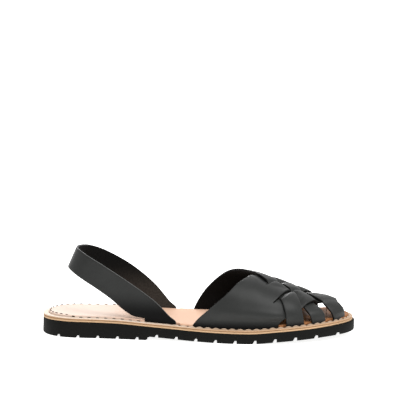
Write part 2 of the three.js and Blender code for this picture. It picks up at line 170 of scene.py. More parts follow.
class SandalSole(bpy.types.PropertyGroup):
    """Sizes of the sole and of its layers."""
    ball_width: length("Ball width", "Width of the sole at the ball of the foot", 91)
    heel_width: length("Heel width", "Width of the sole at the heel", 57)
    heel_round: length("Heel rounding", "Length of the round end at the heel", 30)
    toe_round: length("Toe rounding", "Length of the round end at the toe", 58)
    heel_seat: length("Heel seat", "Height of the rubber at the heel", 12.8)
    tread: length("Tread", "Thickness of the rubber under the ball", 8)
    toe_spring: length("Toe spring", "Rise of the sole at the toe", 4.4)
    heel_length: length("Heel length", "Length of the heel block", 84)
    breast_slant: length("Breast slant", "Lean of the heel's front face", 1.6)
    breast_round: length("Breast rounding", "Radius of the heel's lower front edge", 2.2)
    toe_lip: length("Toe lip", "How far the rubber stands out beyond the rim at the toe", 1.5)
    clearance: length("Clearance", "Gap between the pieces", 0.3)
    midsole: length("Midsole", "Thickness of the light leather layer", 1.4)
    welt: length("Welt", "Thickness of the tan rim", 1.2)
    welt_width: length("Welt width", "Width of the tan rim", 4.4)
    insole: length("Insole", "Thickness of the insole leather", 2.8)
    groove_pitch: length("Groove pitch", "Distance between grooves of the tread", 16)
    groove_width: length("Groove width", "Width of a groove of the tread", 2.4)
    groove_depth: length("Groove depth", "Depth of a groove of the tread", 1.5)
    first_groove: length("First groove", "Distance of the first groove from the heel's tip", 13.5)
    groove_slant: length("Groove slant", "How far a groove runs back at the edge", 5)
    spine_width: length("Spine", "Uncut width between the two halves of a groove", 8)


class SandalUpper(bpy.types.PropertyGroup):
    """Sizes of the vamp and of the heel strap."""
    wall: length("Wall", "Thickness of the vamp's leather", 1.9)
    instep: length("Instep", "Height of the last over the insole", 42)
    toe_lean: length("Toe lean", "How far the vamp leans back at the toe", 1.5)
    rise: length("Weave rise", "How far a finger rises or dips where fingers cross", 1.5)
    slit: length("Slit", "Width of the cut between two fingers", 0.8)
    crown: length("Crown", "How far a finger bows between its edges", 0.5)
    crease: length("Crease", "Depth of the soft crease above the foot of a wing", 0.9)
    strap_wall: length("Strap wall", "Thickness of the strap's leather", 2.0)
    strap_top: length("Strap height", "Height of the strap over the insole", 54)
    strap_bow: length("Strap bow", "How far the inner side of the strap bows upwards", 5.3)
    edge_round: length("Edge rounding", "Radius of the leather's cut edges", 0.3)


class SandalStitch(bpy.types.PropertyGroup):
    """Sizes of the seam that runs round the rim."""
    pitch: length("Pitch", "Distance from hole to hole", 6.3)
    thread: length("Thread", "Diameter of the waxed thread", 0.9)
    bulge: length("Bulge", "How far the rim swells between two holes", 0.4)
    dip: length("Dip", "How far the thread pulls the rim down at a hole", 0.45)


class SandalColours(bpy.types.PropertyGroup):
    """Colours of the finishes."""
    leather: colour("Leather", "Grain side of the black leather", "272827")
    # Painted shade: the foot colour is not a deeper dye. It is the shade painted along the leather's lower
    # band, next to the rim.
    foot: colour("Leather foot", "Grain side where the dye is deepest, next to the rim", "050505")
    flesh: colour("Flesh side", "Inner side of the black leather", "0b0a09")
    rubbed: colour("Rubbed flesh side", "Inner side of the strap near its feet, paler from wear", "36322e")
    # Painted shade: the vamp's cut edges are painted near black to stand for the shade in the slits where the
    # fingers cross.
    cut_edge: colour("Cut edge", "Cut edges of the vamp's fingers", "0e0d0c")
    # Partly painted highlight: the strap's edges are burnished and waxed, and are painted lighter than the
    # vamp's so that a thin light line runs along them.
    burnished: colour("Burnished edge", "Waxed edges of the heel strap", "4a4a4a")
    welt: colour("Welt", "Cut edge of the tan rim", "b48d6a")
    welt_heel: colour("Welt face at the heel", "Upper face of the rim round the heel", "e8d4c1")
    welt_face: colour("Welt face", "Upper face of the rim round the forefoot", "bc9f84")
    midsole: colour("Midsole", "Light raw layer under the rim", "c2a07c")
    insole: colour("Insole", "Undyed leather under the heel", "ebd5c6")
    waist: colour("Insole at the waist", "Undyed leather under the arch, pinker than at the heel", "e4bca1")
    # Painted shade: the insole is painted browner under the toes for the shade that the vamp casts there, not
    # darkened by wear.
    painted_toe_shade: colour("Worn insole", "Insole under the toes, darkened by the foot", "9c6a45")
    thread: colour("Thread", "Waxed thread of the rim seam", "cdb9a4")
    # Painted shade: the holes' dark brown paints the shade inside each stitch hole.
    hole: colour("Hole", "Stitch holes of the rim seam", "3a2d25")
    rubber: colour("Rubber", "Black moulded rubber", "0d0d0b")
    floor: colour("Floor", "Studio floor", "f8f8f7")


# Reading the tables
def read(table, column, at):
    """A smooth curve through one column of a table, at a place along its first column."""
    head, rows = table[0], table[1:]
    k = head.index(column)
    last = len(rows) - 2
    i = next((n - 1 for n, row in enumerate(rows) if row[0] > at), last)
    i = min(max(i, 0), last)

    def slope(n):
        a, b = rows[max(n - 1, 0)], rows[min(n + 1, len(rows) - 1)]
        return (b[k] - a[k]) / (b[0] - a[0])

    span = rows[i + 1][0] - rows[i][0]
    t = min(max((at - rows[i][0]) / span, 0.0), 1.0)
    u = 1 - t
    ends = (1 + 2 * t) * u * u * rows[i][k] + t * t * (3 - 2 * t) * rows[i + 1][k]
    return ends + t * u * span * (u * slope(i) - t * slope(i + 1))


def ease(share):
    """From 0 to 1 with a soft start and a soft end."""
    share = min(max(share, 0.0), 1.0)
    return share * share * (3 - 2 * share)


def outwards(line):
    """The way outwards at each point of a closed line."""
    ways = []
    for i in range(len(line)):
        along = (line[(i + 1) % len(line)] - line[i - 1]).normalized()
        ways.append(Vector((along.y, -along.x)))
    return ways


class Shoe:
    """The forms that the pieces share: outline, layers, last, weave and strap. Lengths in metres."""

    OUTLINE_STEPS = 320
    BREAST_STEPS = 6
    # Fullness of the outline's ends and of the last's sides, 2 being an ellipse
    ROUND_POWER = 2.1
    SIDE_FULLNESS = 2.35
    # Shares of the length from which the rim stands back at the toe, and over which it gets there
    LIP_FROM, LIP_OVER = 0.86, 0.12
    # Finger, share of the length that it narrows on the far side, and the run from and over which
    FAR_TRIMS = ((2, 0.022, 0.55, 0.20), (3, 0.018, 0.48, 0.30))
    # How sharply a finger turns from under to over, and the point of the crossing where it does
    WEAVE_TURN, WEAVE_LEVEL = 3.5, 0.3
    # Finger widths beyond a crossing from which a finger below comes up again, and over which
    DIP_FROM, DIP_OVER = 0.5, 0.8
    # Turn over which the strap leaves its foot line
    FOOT_BLEND = 0.22

    def __init__(self, scene):
        self.sole = scene.sandal_sole
        self.upper = scene.sandal_upper
        self.stitch = scene.sandal_stitch
        self.long = SOLE_HIGH.x - SOLE_LOW.x
        sizes = ("ball_width", "heel_width", "heel_round", "toe_round", "heel_seat", "tread", "toe_spring",
                 "heel_length", "clearance", "midsole", "welt", "welt_width", "insole")
        for name in sizes:
            setattr(self, name, getattr(self.sole, name))
        steps = self.OUTLINE_STEPS
        even = [self.long / 2 * (1 - math.cos(math.pi * i / steps)) for i in range(steps + 1)]
        radius, slant, breast = self.sole.breast_round, self.sole.breast_slant, self.heel_length
        turns = [math.pi / 2 * i / self.BREAST_STEPS for i in range(self.BREAST_STEPS + 1)]
        corner_steps = [breast - radius * (1 - math.sin(turn)) for turn in turns] + [breast + slant]
        clear = [x for x in even if min(abs(x - step) for step in corner_steps) > 0.15 * MM]
        self.stations = sorted(clear + corner_steps)
        self.line = self.outline()
        self.ways = outwards(self.line)
        self.middle = min(point.y for point in self.line) - SOLE_LOW.y
        self.seam_length = self.even_outline(self.welt_width, 8)[2]
        foot = self.welt_width + self.clearance + self.upper.wall / 2
        self.feet = {side: self.side_points(foot, side) for side in (-1, 1)}

    def rounding(self, x):
        def end(gap, span):
            share = min(max(gap / span, 0.0), 1.0)
            return (1 - share ** self.ROUND_POWER) ** (1 / self.ROUND_POWER)
        return end(self.heel_round - x, self.heel_round) * end(x - self.long + self.toe_round, self.toe_round)

    def edge(self, x, side):
        share = read(PLAN, "outer" if side < 0 else "inner", x / self.long)
        half = (self.heel_width + (self.ball_width - self.heel_width) * share) / 2
        return self.ball_width * read(PLAN, "bend", x / self.long) + side * half * self.rounding(x)

    def outline(self):
        """Points round the sole: heel tip, outer side, toe tip, inner side."""
        outer = [Vector((x, self.edge(x, -1))) for x in self.stations]
        inner = [Vector((x, self.edge(x, 1))) for x in reversed(self.stations[1:-1])]
        return outer + inner

    def inset_outline(self, inset):
        return [point - way * inset for point, way in zip(self.line, self.ways, strict=True)]

    def side_points(self, inset, side):
        """The inset outline from heel tip to toe tip, on one side."""
        points = self.inset_outline(inset)
        count = len(self.stations)
        return points[:count] if side < 0 else [points[0]] + points[:count - 2:-1]

    def even_outline(self, inset, count):
        """The same line with its points at even distances, and the way outwards at each."""
        line = self.inset_outline(inset)
        marks = [0.0]
        for i in range(len(line)):
            marks.append(marks[-1] + (line[(i + 1) % len(line)] - line[i]).length)
        points, k = [], 0
        for n in range(count):
            at = marks[-1] * n / count
            while marks[k + 1] < at:
                k += 1
            a, b = line[k], line[(k + 1) % len(line)]
            points.append(a.lerp(b, (at - marks[k]) / (marks[k + 1] - marks[k])))
        return points, outwards(points), marks[-1]

    def foot_line(self, x, side):
        """Where the middle of the upper's wall meets the sole."""
        line = self.feet[side]
        low, high = 0, len(line) - 1
        while high - low > 1:
            half = (low + high) // 2
            low, high = (half, high) if line[half].x <= x else (low, half)
        a, b = line[low], line[high]
        share = min(max((x - a.x) / max(b.x - a.x, 1e-9), 0.0), 1.0)
        return a.y + share * (b.y - a.y)

    def insole_inset(self, x, side):
        """How far the insole stays inside the outline: further where the upper goes down beside it."""
        start = self.welt_width + self.clearance
        foot, tip = dict(zip(STRAP[0], STRAP[1])), dict(zip(FINGERS[0], FINGERS[-1]))
        wing = dict(zip(FINGERS[0], FINGERS[1]))
        back = "outer1" if side < 0 else "inner1"
        spans = [(foot["low_x"], foot["high_x"]), (wing[back], wing["front3"]),
                 (tip["outer1"], tip["front1"]), (tip["back2"], tip["front2"]), (tip["back3"], tip["front3"])]
        margin = self.clearance + self.upper.wall / 2
        if any(self.long * a - margin < x < self.long * b + margin for a, b in spans):
            return start + self.upper.wall + self.clearance
        return start

    def toe_inset(self, x):
        """How far the rim stands back from the rubber's lip at the toe."""
        return self.sole.toe_lip * ease((x / self.long - self.LIP_FROM) / self.LIP_OVER)

    def inset_point(self, i, side, inset):
        k = i if side < 0 else -i % len(self.line)
        return self.line[k] - self.ways[k] * inset

    # Heights of the layers
    def rubber_top(self, x):
        share = x / self.long
        heel = (self.heel_seat - self.tread) * read(PROFILE, "heel", share)
        return self.tread + heel + self.toe_spring * read(PROFILE, "spring", share)

    def rubber_bottom(self, x):
        arch = max(0.0, self.rubber_top(x) - self.tread)
        radius = self.sole.breast_round
        if x <= self.heel_length:
            over = max(x - self.heel_length + radius, 0.0)
            return radius - math.sqrt(max(radius * radius - over * over, 0.0))
        share = min((x - self.heel_length) / self.sole.breast_slant, 1.0)
        return radius + share * (arch - radius) if share < 1 else arch

    def midsole_bottom(self, x):
        return self.rubber_top(x) + self.clearance

    def midsole_top(self, x):
        return self.midsole_bottom(x) + self.midsole

    def seat(self, x):
        return self.midsole_top(x) + self.clearance

    def welt_top(self, x):
        return self.seat(x) + self.welt

    def insole_top(self, x):
        return self.seat(x) + self.insole

    # The last under the vamp, across from -1 at the outer foot line over 0 at the ridge to 1
    def last(self, x, across):
        side = -1 if across < 0 else 1
        angle = (1 - min(abs(across), 1.0)) * math.pi / 2
        wide = max(math.cos(angle), 0.0) ** (2 / self.SIDE_FULLNESS)
        high = max(math.sin(angle), 0.0) ** (2 / self.SIDE_FULLNESS)
        ridge_y = self.ball_width * read(RIDGE, "shift", x / self.long)
        rise = self.upper.instep * read(RIDGE, "rise", x / self.long)
        y = ridge_y + (self.foot_line(x, side) - ridge_y) * wide
        lean = self.upper.toe_lean * (x / self.long) ** 12
        return Vector((x - lean * high, y, self.insole_top(x) + rise * high))

    def last_normal(self, x, across):
        step, near = 0.01, 1e-5
        inside = min(max(across, step - 1), 1 - step)
        along = self.last(x + near, inside) - self.last(x - near, inside)
        around = self.last(x, inside + step) - self.last(x, inside - step)
        return along.cross(around).normalized()

    def finger_edges(self, wing, run):
        back = "outer1" if wing < 0 else "inner1"
        names = ((back, "front1"), ("back2", "front2"), ("back3", "front3"))
        edges = [[self.long * read(FINGERS, name, run) for name in pair] for pair in names]
        if wing < 0:
            for number, trim, begin, over in self.FAR_TRIMS:
                edges[number - 1][1] -= self.long * trim * ease((run - begin) / over)
        return edges

    def finger_at(self, wing, x, across):
        """Which finger of a wing lies here: 1, 2 or 3 at its middle, halves at its edges."""
        edges = self.finger_edges(wing, min(max((1 - wing * across) / 2, 0.0), 1.0))
        joints = (edges[0][0], (edges[0][1] + edges[1][0]) / 2, (edges[1][1] + edges[2][0]) / 2, edges[2][1])
        i = 0 if x < joints[1] else 1 if x < joints[2] else 2
        return i + 0.5 + (x - joints[i]) / (joints[i + 1] - joints[i])

    def weave(self, wing, finger, x, across):
        """Share of the rise, from -1 under to 1 over the other wing's fingers.

        A finger on top dips before its end, so that it is down where it slips under the next one.
        """
        other = self.finger_at(-wing, x, across)
        crossed = min(max(other, 1.0), 3.0)
        over = wing * math.cos(math.pi * (crossed + finger))
        beyond = abs(other - crossed)
        fade = ease(beyond) if over > 0 else ease((beyond - self.DIP_FROM) / self.DIP_OVER)
        return math.tanh(self.WEAVE_TURN * (over - self.WEAVE_LEVEL)) * (1 - fade)

    # The slingback strap
    def strap(self, turn, share):
        side = -1 if turn < 0.5 else 1
        half = min(turn, 1 - turn)
        low = [read(STRAP, name, half) for name in ("low_x", "low_y", "low_z")]
        high = [read(STRAP, name, half) for name in ("high_x", "high_y", "high_z")]
        x, y, z = [a + share * (b - a) for a, b in zip(low, high)]
        x, y = self.long * x, side * self.heel_width * y
        foot = ease(1 - half / self.FOOT_BLEND)
        y += foot * (self.foot_line(x, side) - y)
        z = self.insole_top(0) + self.upper.strap_top * z + foot * (self.insole_top(x) - self.insole_top(0))
        if side > 0:
            z += self.upper.strap_bow * math.sin(math.pi * (2 * half) ** 2)
        return Vector((x, y, z))

    def footed(self, rows):
        """Rows of the upper, drawn on straight down to the sole at both ends."""
        def drop(row, share):
            return [Vector((p.x, p.y, p.z + share * (self.seat(p.x) - p.z))) for p in row]
        return [drop(rows[0], 1.0), drop(rows[0], 0.5)] + rows + [drop(rows[-1], 0.5), drop(rows[-1], 1.0)]

    def place(self, point):
        """From the last's own lengths, from the heel's tip, to the frame."""
        return Vector((point.x - self.long / 2, point.y - self.middle, point.z))


# Modelling
def deselect():
    if bpy.context.mode != "OBJECT":
        bpy.ops.object.mode_set(mode="OBJECT")
    bpy.ops.object.select_all(action="DESELECT")


def take(piece):
    deselect()
    piece.select_set(True)
    bpy.context.view_layer.objects.active = piece


def named(name):
    piece = bpy.context.active_object
    piece.name = name
    piece.data.name = name
    return piece


def modify(piece, kind, **settings):
    """Adds a modifier to a piece and applies it."""
    take(piece)
    modifier = piece.modifiers.new(kind.title(), kind)
    for key, value in settings.items():
        setattr(modifier, key, value)
    bpy.ops.object.modifier_apply(modifier=modifier.name)


def smooth(piece, degrees):
    take(piece)
    bpy.ops.object.shade_smooth_by_angle(angle=math.radians(degrees))


def weld(piece, closed=False):
    """Merges the points that lie together. The faces of a closed form are turned outwards as well."""
    take(piece)
    bpy.ops.object.mode_set(mode="EDIT")
    bpy.ops.mesh.select_all(action="SELECT")
    bpy.ops.mesh.remove_doubles(threshold=MERGED)
    if closed:
        bpy.ops.mesh.normals_make_consistent(inside=False)
    bpy.ops.object.mode_set(mode="OBJECT")
    return piece


def thicken(piece, wall, rounding):
    """Gives a laid band of leather its wall, with the flesh side inside, and rounds its cut edges."""
    modify(piece, "SOLIDIFY", thickness=wall, offset=0.0, use_even_offset=True,
           use_quality_normals=True, material_offset=1, material_offset_rim=2)
    modify(piece, "BEVEL", width=rounding, segments=2, limit_method="ANGLE", angle_limit=math.radians(50))
    smooth(piece, 40)


def drape(name, rows):
    """A grid laid through rows of points. Its faces look along column cross row."""
    deselect()
    bpy.ops.mesh.primitive_grid_add(x_subdivisions=len(rows[0]) - 1, y_subdivisions=len(rows) - 1, size=1)
    piece = named(name)
    points = [point for row in rows for point in row]
    for vertex, point in zip(piece.data.vertices, points, strict=True):
        vertex.co = point
    return piece


def join(name, pieces):
    deselect()
    for piece in pieces:
        piece.select_set(True)
    bpy.context.view_layer.objects.active = pieces[0]
    bpy.ops.object.join()
    return named(name)


def plate(name, shoe, side_line, columns):
    """A layer of the sole. side_line gives, for a side and a station, the points up its edge."""
    outer, inner = side_line(-1), side_line(1)
    rows = []
    for low, high in zip(outer, inner, strict=True):
        across = [i / columns for i in range(1, columns)]
        under = [low[0].lerp(high[0], share) for share in across]
        over = [high[-1].lerp(low[-1], share) for share in across]
        row = under + high + over + low[::-1]
        rows.append([shoe.place(point) for point in row + row[:1]])
    return weld(drape(name, rows), closed=True)


def finish_piece(piece, slot, materials, *nodes):
    piece.data.materials.clear()
    for material in materials:
        piece.data.materials.append(material)
    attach(piece, ROOT)
    if nodes:
        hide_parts(*nodes)


# Finishes
def node(tree, kind, links=None, **settings):
    """Adds a node. A setting is one of its own or the value of a socket; a link names a socket."""
    made = tree.nodes.new(kind)
    for key, value in settings.items():
        if hasattr(made, key):
            setattr(made, key, value)
        else:
            made.inputs[key.replace("_", " ")].default_value = value
    for socket, source in (links or {}).items():
        tree.links.new(source, made.inputs[socket])
    return made


def material(name):
    made = bpy.data.materials.new(name)
    made.use_nodes = True
    tree = made.node_tree
    tree.nodes.clear()
    return made, tree


def surface(tree, tone, relief=None, polish=None, **settings):
    """Closes a material: its colour, its relief, what varies over it and its constant values."""
    links = {"Base Color": tone.outputs[0], **(polish or {})}
    if relief:
        links["Normal"] = relief.outputs[0]
    shader = node(tree, "ShaderNodeBsdfPrincipled", links, **settings)
    node(tree, "ShaderNodeOutputMaterial", {"Surface": shader.outputs[0]})


def rgba(value):
    return (*value, 1.0)


def grey(value):
    return (value, value, value)


def tinted(value, factor):
    return tuple(min(v * factor, 1.0) for v in value)


def mixed(tree, share, first, second, start=0.0, end=1.0):
    """A colour between two, by a share that counts from its start to its end."""
    ramp = node(tree, "ShaderNodeValToRGB", {0: share})
    for element, place, value in zip(ramp.color_ramp.elements, (start, end), (first, second), strict=True):
        element.position = place
        element.color = rgba(value)
    return ramp


def spots(tree, size, detail=4.0, roughness=0.55, stretch=(1, 1, 1)):
    """Soft noise on the piece's own coordinates with patches of a real size in metres."""
    place = node(tree, "ShaderNodeTexCoord")
    turned = node(tree, "ShaderNodeMapping", {"Vector": place.outputs["Object"]}, Scale=stretch)
    return node(tree, "ShaderNodeTexNoise", {"Vector": turned.outputs[0]},
                Scale=1 / size, Detail=detail, Roughness=roughness)


def mottled(tree, noise, value, low, high):
    """A colour darker and lighter with the noise."""
    return mixed(tree, noise.outputs["Fac"], tinted(value, low), tinted(value, high))


def clouded(tree, tone, noise, low, high):
    """A tone made lighter and darker in the noise's soft patches."""
    shade = mixed(tree, noise.outputs["Fac"], grey(low), grey(high), 0.3, 0.7)
    return node(tree, "ShaderNodeMixRGB", {"Color1": tone.outputs[0], "Color2": shade.outputs[0]},
                blend_type="MULTIPLY", Fac=1.0)


def pores(tree, size):
    place = node(tree, "ShaderNodeTexCoord")
    cells = node(tree, "ShaderNodeTexVoronoi", {"Vector": place.outputs["Object"]},
                 feature="SMOOTH_F1", Scale=1 / size, Randomness=1.0)
    return cells.outputs["Distance"]


def bump(tree, height, distance, strength, under=None):
    links = {"Height": height}
    if under:
        links["Normal"] = under.outputs[0]
    return node(tree, "ShaderNodeBump", links, Distance=distance, Strength=strength)


def rising(tree, axis, low, high, first=0.0, last=1.0):
    """A value that goes from the first to the last between two places along an axis, in metres."""
    place = node(tree, "ShaderNodeTexCoord")
    split = node(tree, "ShaderNodeSeparateXYZ", {"Vector": place.outputs["Object"]})
    share = node(tree, "ShaderNodeMapRange", {"Value": split.outputs[axis]},
                 interpolation_type="SMOOTHSTEP", From_Min=low, From_Max=high, To_Min=first, To_Max=last)
    return share.outputs[0]


def blended(tree, axis, low, high, first, second):
    """A colour that turns from the first to the second between two places along an axis."""
    return mixed(tree, rising(tree, axis, low, high), first, second)


def grain_leather(name, foot, value, low, high):
    """Full-grain calf, dyed black: near black with a soft satin sheen that shows where it turns away.

    It is darkest and dullest at its foot: a painted shade there, with its coat thinned so that its sheen
    fades with it.
    """
    made, tree = material(name)
    # Painted shade: the colour darkens from the leather's own to the foot colour below the given heights.
    tone = clouded(tree, blended(tree, "Z", low, high, foot, value), spots(tree, 22 * MM), 0.85, 1.15)
    grain = bump(tree, pores(tree, 0.9 * MM), 0.06 * MM, 0.5)
    soft = bump(tree, spots(tree, 7 * MM).outputs["Fac"], 0.5 * MM, 0.4, grain)
    wax = node(tree, "ShaderNodeMapRange", {"Value": spots(tree, 12 * MM).outputs["Fac"]},
               From_Min=0.3, From_Max=0.7, To_Min=0.42, To_Max=0.54)
    # The coat thins towards the foot too, so that the sheen fades with the painted shade. The roughness
    # varies at random.
    polish = {"Roughness": wax.outputs[0], "Coat Weight": rising(tree, "Z", low, high, 0.15, 1.0)}
    surface(tree, tone, soft, polish, IOR=1.5, Specular_IOR_Level=0.06, Coat_Roughness=0.45, Coat_IOR=1.25)
    return made


def flesh_leather(name, foot, value, low, high):
    """Flesh side of the calf: matt and slightly hairy, so that it swallows the light."""
    made, tree = material(name)
    tone = clouded(tree, blended(tree, "Z", low, high, foot, value), spots(tree, 1.2 * MM), 0.7, 1.3)
    nap = bump(tree, spots(tree, 1.2 * MM, 6.0, 0.7).outputs["Fac"], 0.15 * MM, 0.6)
    surface(tree, tone, nap, Roughness=0.85, IOR=1.4, Specular_IOR_Level=0.15, Sheen_Weight=0.03,
            Sheen_Roughness=0.5)
    return made


def cut_leather(name, value, roughness):
    """Cut edge of the calf, fibrous, in a colour given per piece. It is near black and raw on the vamp's
    fingers, a painted shade for the slits between them. It is a lighter grey on the strap, where its edges
    are burnished and waxed, and there it is partly a painted highlight that gives a thin light line.
    """
    made, tree = material(name)
    fibres = spots(tree, 0.8 * MM, 5.0, 0.7)
    surface(tree, mottled(tree, fibres, value, 0.6, 1.2), bump(tree, fibres.outputs["Fac"], 0.1 * MM, 0.6),
            Roughness=roughness, IOR=1.45, Specular_IOR_Level=0.3)
    return made


def tan_leather(name, heel, front, streak):
    """Vegetable-tanned leather, cut through its layers: streaks along the edge, hardly any gloss."""
    made, tree = material(name)
    layers = spots(tree, 5 * MM, 5.0, 0.6, (1, 1, streak))
    tone = clouded(tree, blended(tree, "X", -60 * MM, 20 * MM, heel, front), layers, 0.84, 1.0)
    surface(tree, tone, bump(tree, layers.outputs["Fac"], 0.12 * MM, 0.5),
            Roughness=0.62, IOR=1.45, Specular_IOR_Level=0.25)
    return made


def insole_leather(look):
    """Undyed vegetable-tanned leather: pale and pinkish, softly clouded, and painted browner under the toes
    for the shade that the vamp casts there.
    """
    made, tree = material("undyed_insole_leather")
    pale = blended(tree, "X", -90 * MM, -20 * MM, look.insole, look.waist)
    # Painted shade: from 20 to 68 mm forward the insole turns to the browner toe colour, for the shade under
    # the vamp.
    forward = rising(tree, "X", 20 * MM, 68 * MM)
    painted_toe_shade = node(tree, "ShaderNodeMixRGB", {"Fac": forward, "Color1": pale.outputs[0]}, Color2=rgba(look.painted_toe_shade))
    tone = clouded(tree, painted_toe_shade, spots(tree, 30 * MM), 0.93, 1.0)
    surface(tree, tone, bump(tree, pores(tree, 1.1 * MM), 0.05 * MM, 0.4),
            Roughness=0.6, IOR=1.45, Specular_IOR_Level=0.06)
    return made


def sole_rubber(look):
    """Moulded black rubber: matt, with the faint mottle of a used mould."""
    made, tree = material("moulded_black_rubber")
    mottle = spots(tree, 3 * MM, 5.0, 0.65)
    tone = mottled(tree, mottle, look.rubber, 0.75, 1.3)
    surface(tree, tone, bump(tree, mottle.outputs["Fac"], 0.15 * MM, 0.5),
            Roughness=0.72, IOR=1.5, Specular_IOR_Level=0.12)
    return made


def waxed_thread(look):
    """Waxed linen thread: dull brown-grey, with the twist of its plies."""
    made, tree = material("waxed_linen_thread")
    plies = spots(tree, 0.8 * MM, 3.0, 0.6)
    tone = mottled(tree, plies, look.thread, 0.7, 1.3)
    surface(tree, tone, bump(tree, plies.outputs["Fac"], 0.1 * MM, 0.6), Roughness=0.55, IOR=1.5)
    return made


def stitch_hole(look):
    """Pierced leather painted dark brown and matt: a painted shade for the inside of its own hole."""
    made, tree = material("pierced_welt_leather")
    tone = mottled(tree, spots(tree, 0.6 * MM, 3.0, 0.6), look.hole, 0.7, 1.3)
    surface(tree, tone, Roughness=0.9, Specular_IOR_Level=0.1)
    return made


def light_table(look):
    """Opal acrylic lit from below: pale and even, and it leaves hardly any shadow."""
    made, tree = material("opal_light_table")
    tone = mottled(tree, spots(tree, 60 * MM), look.floor, 0.98, 1.0)
    surface(tree, tone, Roughness=1.0, Specular_IOR_Level=0.0, Emission_Color=rgba(look.floor),
            Emission_Strength=0.95)
    return made


def corner(centre, radius, start, end, steps):
    """Points of a rounded corner: how far in from the outline, and how high."""
    angles = [math.radians(start + (end - start) * i / steps) for i in range(steps + 1)]
    return [(centre[0] - radius * math.cos(a), centre[1] + radius * math.sin(a)) for a in angles]


class BuildOutsole(bpy.types.Operator):
    """Rubber sole with its heel block, toe spring and grooved tread"""
    bl_idname = "sandal.outsole"
    bl_label = "Outsole"

    EDGE = 0.9 * MM
    TOP_EDGE = (0.0, 0.1 * MM, 0.35 * MM)
    # How far a groove's far end reaches past the ball
    PAST = 1 * MM
    # Widths as shares of the groove's own: at its top, at its mouth and, on top of either, at its far end
    TOP_WIDE, MOUTH_WIDE, FAR_WIDE = 0.55, 1.25, 1.5
    # Lean of the far end as shares of the groove's width, and its depth as a share of the groove's
    TOP_LEAN, MOUTH_LEAN, FAR_DEEP = 0.25, -0.15, 1.8

    def body(self, shoe):
        low = corner((self.EDGE, self.EDGE), self.EDGE, -90, 0, 4)

        def side_line(side):
            lines = [shoe.side_points(inset, side) for inset, up in low]
            tops = [shoe.side_points(inset, side) for inset in self.TOP_EDGE]
            drops = self.TOP_EDGE[::-1]
            rows = []
            for i, x in enumerate(shoe.stations):
                base = shoe.rubber_bottom(x)
                row = [Vector((*line[i], base + up)) for line, (inset, up) in zip(lines, low, strict=True)]
                row += [Vector((*line[i], shoe.rubber_top(line[i].x) - drop))
                        for line, drop in zip(tops, drops, strict=True)]
                rows.append(row)
            return rows

        return plate("outsole_rubber", shoe, side_line, 4)

    def groove(self, shoe, x, side):
        """One half of a chevron: a bar that widens towards the edge of the sole."""
        sole = shoe.sole
        deselect()
        bpy.ops.mesh.primitive_cube_add(size=1)
        bar = named("groove")
        inside, outside = side * sole.spine_width / 2, side * (shoe.ball_width / 2 + self.PAST)
        base = shoe.rubber_bottom(x)
        for vertex in bar.data.vertices:
            far, front, top = vertex.co.y * side > 0, vertex.co.x > 0, vertex.co.z > 0
            width = sole.groove_width * (self.FAR_WIDE if far else 1.0)
            width *= self.TOP_WIDE if top else self.MOUTH_WIDE
            centre = x + sole.groove_width / 2 - (sole.groove_slant if far else 0.0)
            centre += sole.groove_width * (self.TOP_LEAN if top else self.MOUTH_LEAN) if far else 0.0
            depth = sole.groove_depth * (self.FAR_DEEP if far else 1.0)
            vertex.co = shoe.place(Vector((
                centre + (width / 2 if front else -width / 2),
                outside if far else inside,
                base + (depth if top else -depth))))
        return weld(bar, closed=True)

    def execute(self, context):
        shoe = Shoe(context.scene)
        piece = self.body(shoe)
        bars = []
        x = shoe.sole.first_groove
        while x < shoe.long - shoe.sole.groove_slant:
            bars += [self.groove(shoe, x, side) for side in (-1, 1)]
            x += shoe.sole.groove_pitch
        cutter = join("grooves", bars)
        modify(piece, "BOOLEAN", operation="DIFFERENCE", object=cutter, solver="EXACT")
        bpy.data.objects.remove(cutter)
        smooth(piece, 35)
        finish_piece(piece, "rubber", [sole_rubber(context.scene.sandal_colours)], "outsole")
        return {"FINISHED"}


class BuildMidsole(bpy.types.Operator):
    """Thin raw layer under the rim"""
    bl_idname = "sandal.midsole"
    bl_label = "Midsole"

    EDGE = 0.3 * MM

    def execute(self, context):
        shoe = Shoe(context.scene)
        profile = corner((self.EDGE, self.EDGE), self.EDGE, -90, 0, 2)
        profile += corner((self.EDGE, shoe.midsole - self.EDGE), self.EDGE, 0, 90, 2)

        def side_line(side):
            rows = []
            for i, x in enumerate(shoe.stations):
                back = shoe.toe_inset(x)
                points = [(shoe.inset_point(i, side, inset + back), up) for inset, up in profile]
                rows.append([Vector((*point, shoe.midsole_bottom(point.x) + up)) for point, up in points])
            return rows

        piece = plate("midsole_layer", shoe, side_line, 4)
        smooth(piece, 35)
        raw = context.scene.sandal_colours.midsole
        finish_piece(piece, "midsole_leather", [tan_leather("raw_midsole_leather", raw, raw, 6)], "midsole")
        return {"FINISHED"}


